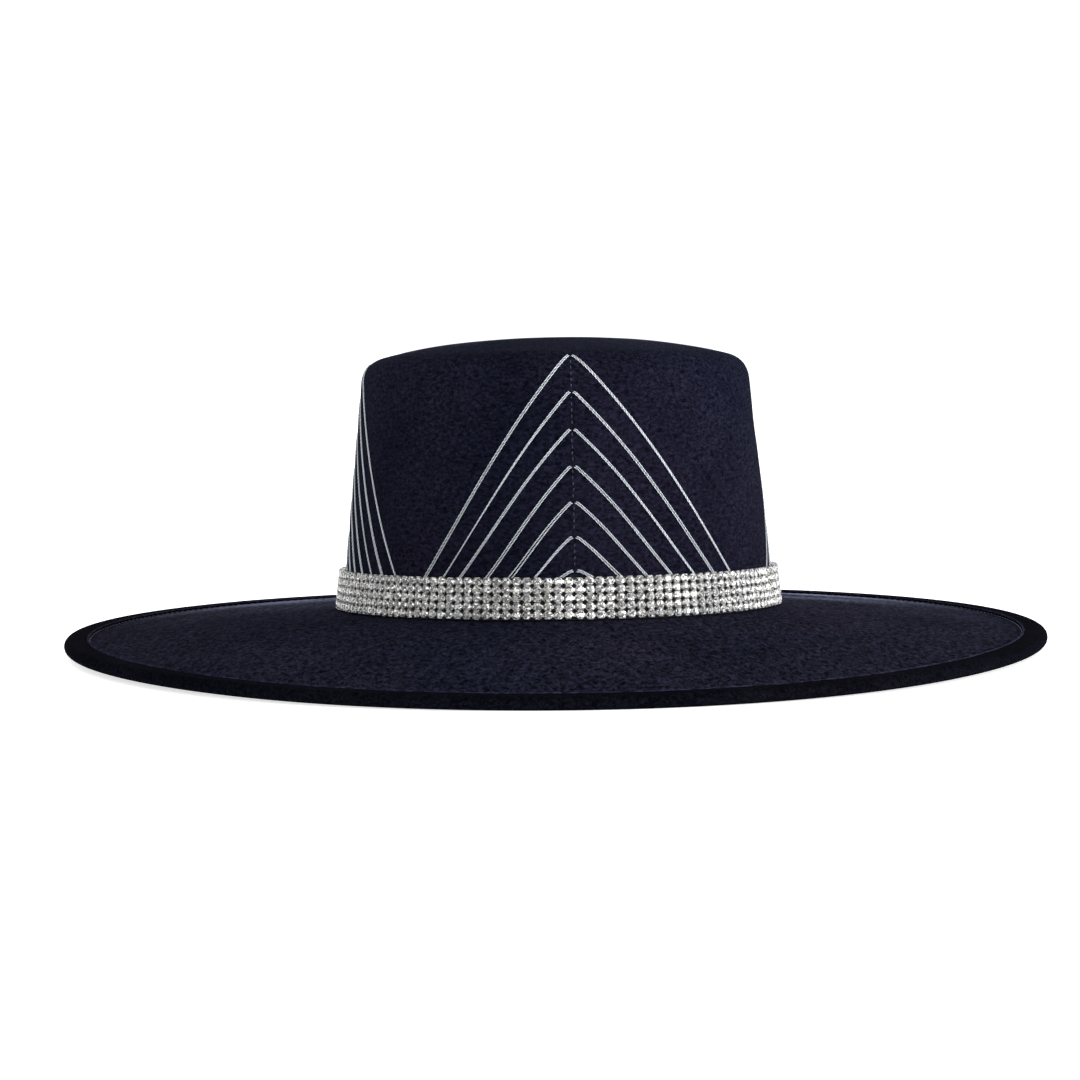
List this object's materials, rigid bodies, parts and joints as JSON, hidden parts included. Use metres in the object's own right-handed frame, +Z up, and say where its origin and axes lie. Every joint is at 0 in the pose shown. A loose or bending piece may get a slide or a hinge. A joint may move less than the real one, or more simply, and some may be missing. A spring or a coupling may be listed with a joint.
{
  "type": "sombrero hat",
  "caption": "Wide-brimmed, flat-crowned suede sombrero with a rhinestone hatband and nested silver thread chevrons round the crown.",
  "frame": {"origin": "centre of the bounding box at the bottom, on the plane that the hem rests on", "axes": "+Z up through the crown, -Y towards the front of the hat, +X towards the wearer's left"},
  "size_m": [0.3938, 0.4214, 0.1235],
  "materials": {
    "suede": "short-napped faux suede, very dark navy",
    "binding": "faux suede strip, very dark navy",
    "buckram": "stiff moulded buckram",
    "lining": "thin woven lining",
    "dark_stitching": "fine dark thread",
    "sweat_leather": "smooth dark sweatband",
    "board": "stiff brim board",
    "wire": "drawn steel wire",
    "ribbon": "dark woven carrier",
    "settings": "bright metal cups",
    "stones": "clear foiled rhinestones",
    "silver_thread": "silver metallic thread"
  },
  "bodies": {
    "root": {"crown_cover": "suede", "crown_stiffener": "buckram", "crown_lining": "lining", "crown_centre_stitches": "dark_stitching", "sweatband": "sweat_leather", "sweatband_stitching": "dark_stitching", "brim_top_cover": "suede", "brim_core": "board", "brim_underside_cover": "suede", "brim_hem_binding": "binding", "brim_edge_wire": "wire", "brim_hem_stitching": "dark_stitching", "hatband_ribbon": "ribbon", "hatband_cups_row_1": "settings", "hatband_cups_row_2": "settings", "hatband_cups_row_3": "settings", "hatband_cups_row_4": "settings", "hatband_cups_row_5": "settings", "hatband_stones_row_1": "stones", "hatband_stones_row_2": "stones", "hatband_stones_row_3": "stones", "hatband_stones_row_4": "stones", "hatband_stones_row_5": "stones", "thread_front_1": "silver_thread", "thread_front_2": "silver_thread", "thread_front_3": "silver_thread", "thread_front_4": "silver_thread", "thread_front_5": "silver_thread", "thread_front_6": "silver_thread", "thread_front_7": "silver_thread", "thread_right_1": "silver_thread", "thread_right_2": "silver_thread", "thread_right_3": "silver_thread", "thread_right_4": "silver_thread", "thread_right_5": "silver_thread", "thread_right_6": "silver_thread", "thread_right_7": "silver_thread", "thread_back_1": "silver_thread", "thread_back_2": "silver_thread", "thread_back_3": "silver_thread", "thread_back_4": "silver_thread", "thread_back_5": "silver_thread", "thread_back_6": "silver_thread", "thread_back_7": "silver_thread", "thread_left_1": "silver_thread", "thread_left_2": "silver_thread", "thread_left_3": "silver_thread", "thread_left_4": "silver_thread", "thread_left_5": "silver_thread", "thread_left_6": "silver_thread", "thread_left_7": "silver_thread"}
  },
  "joints": []
}
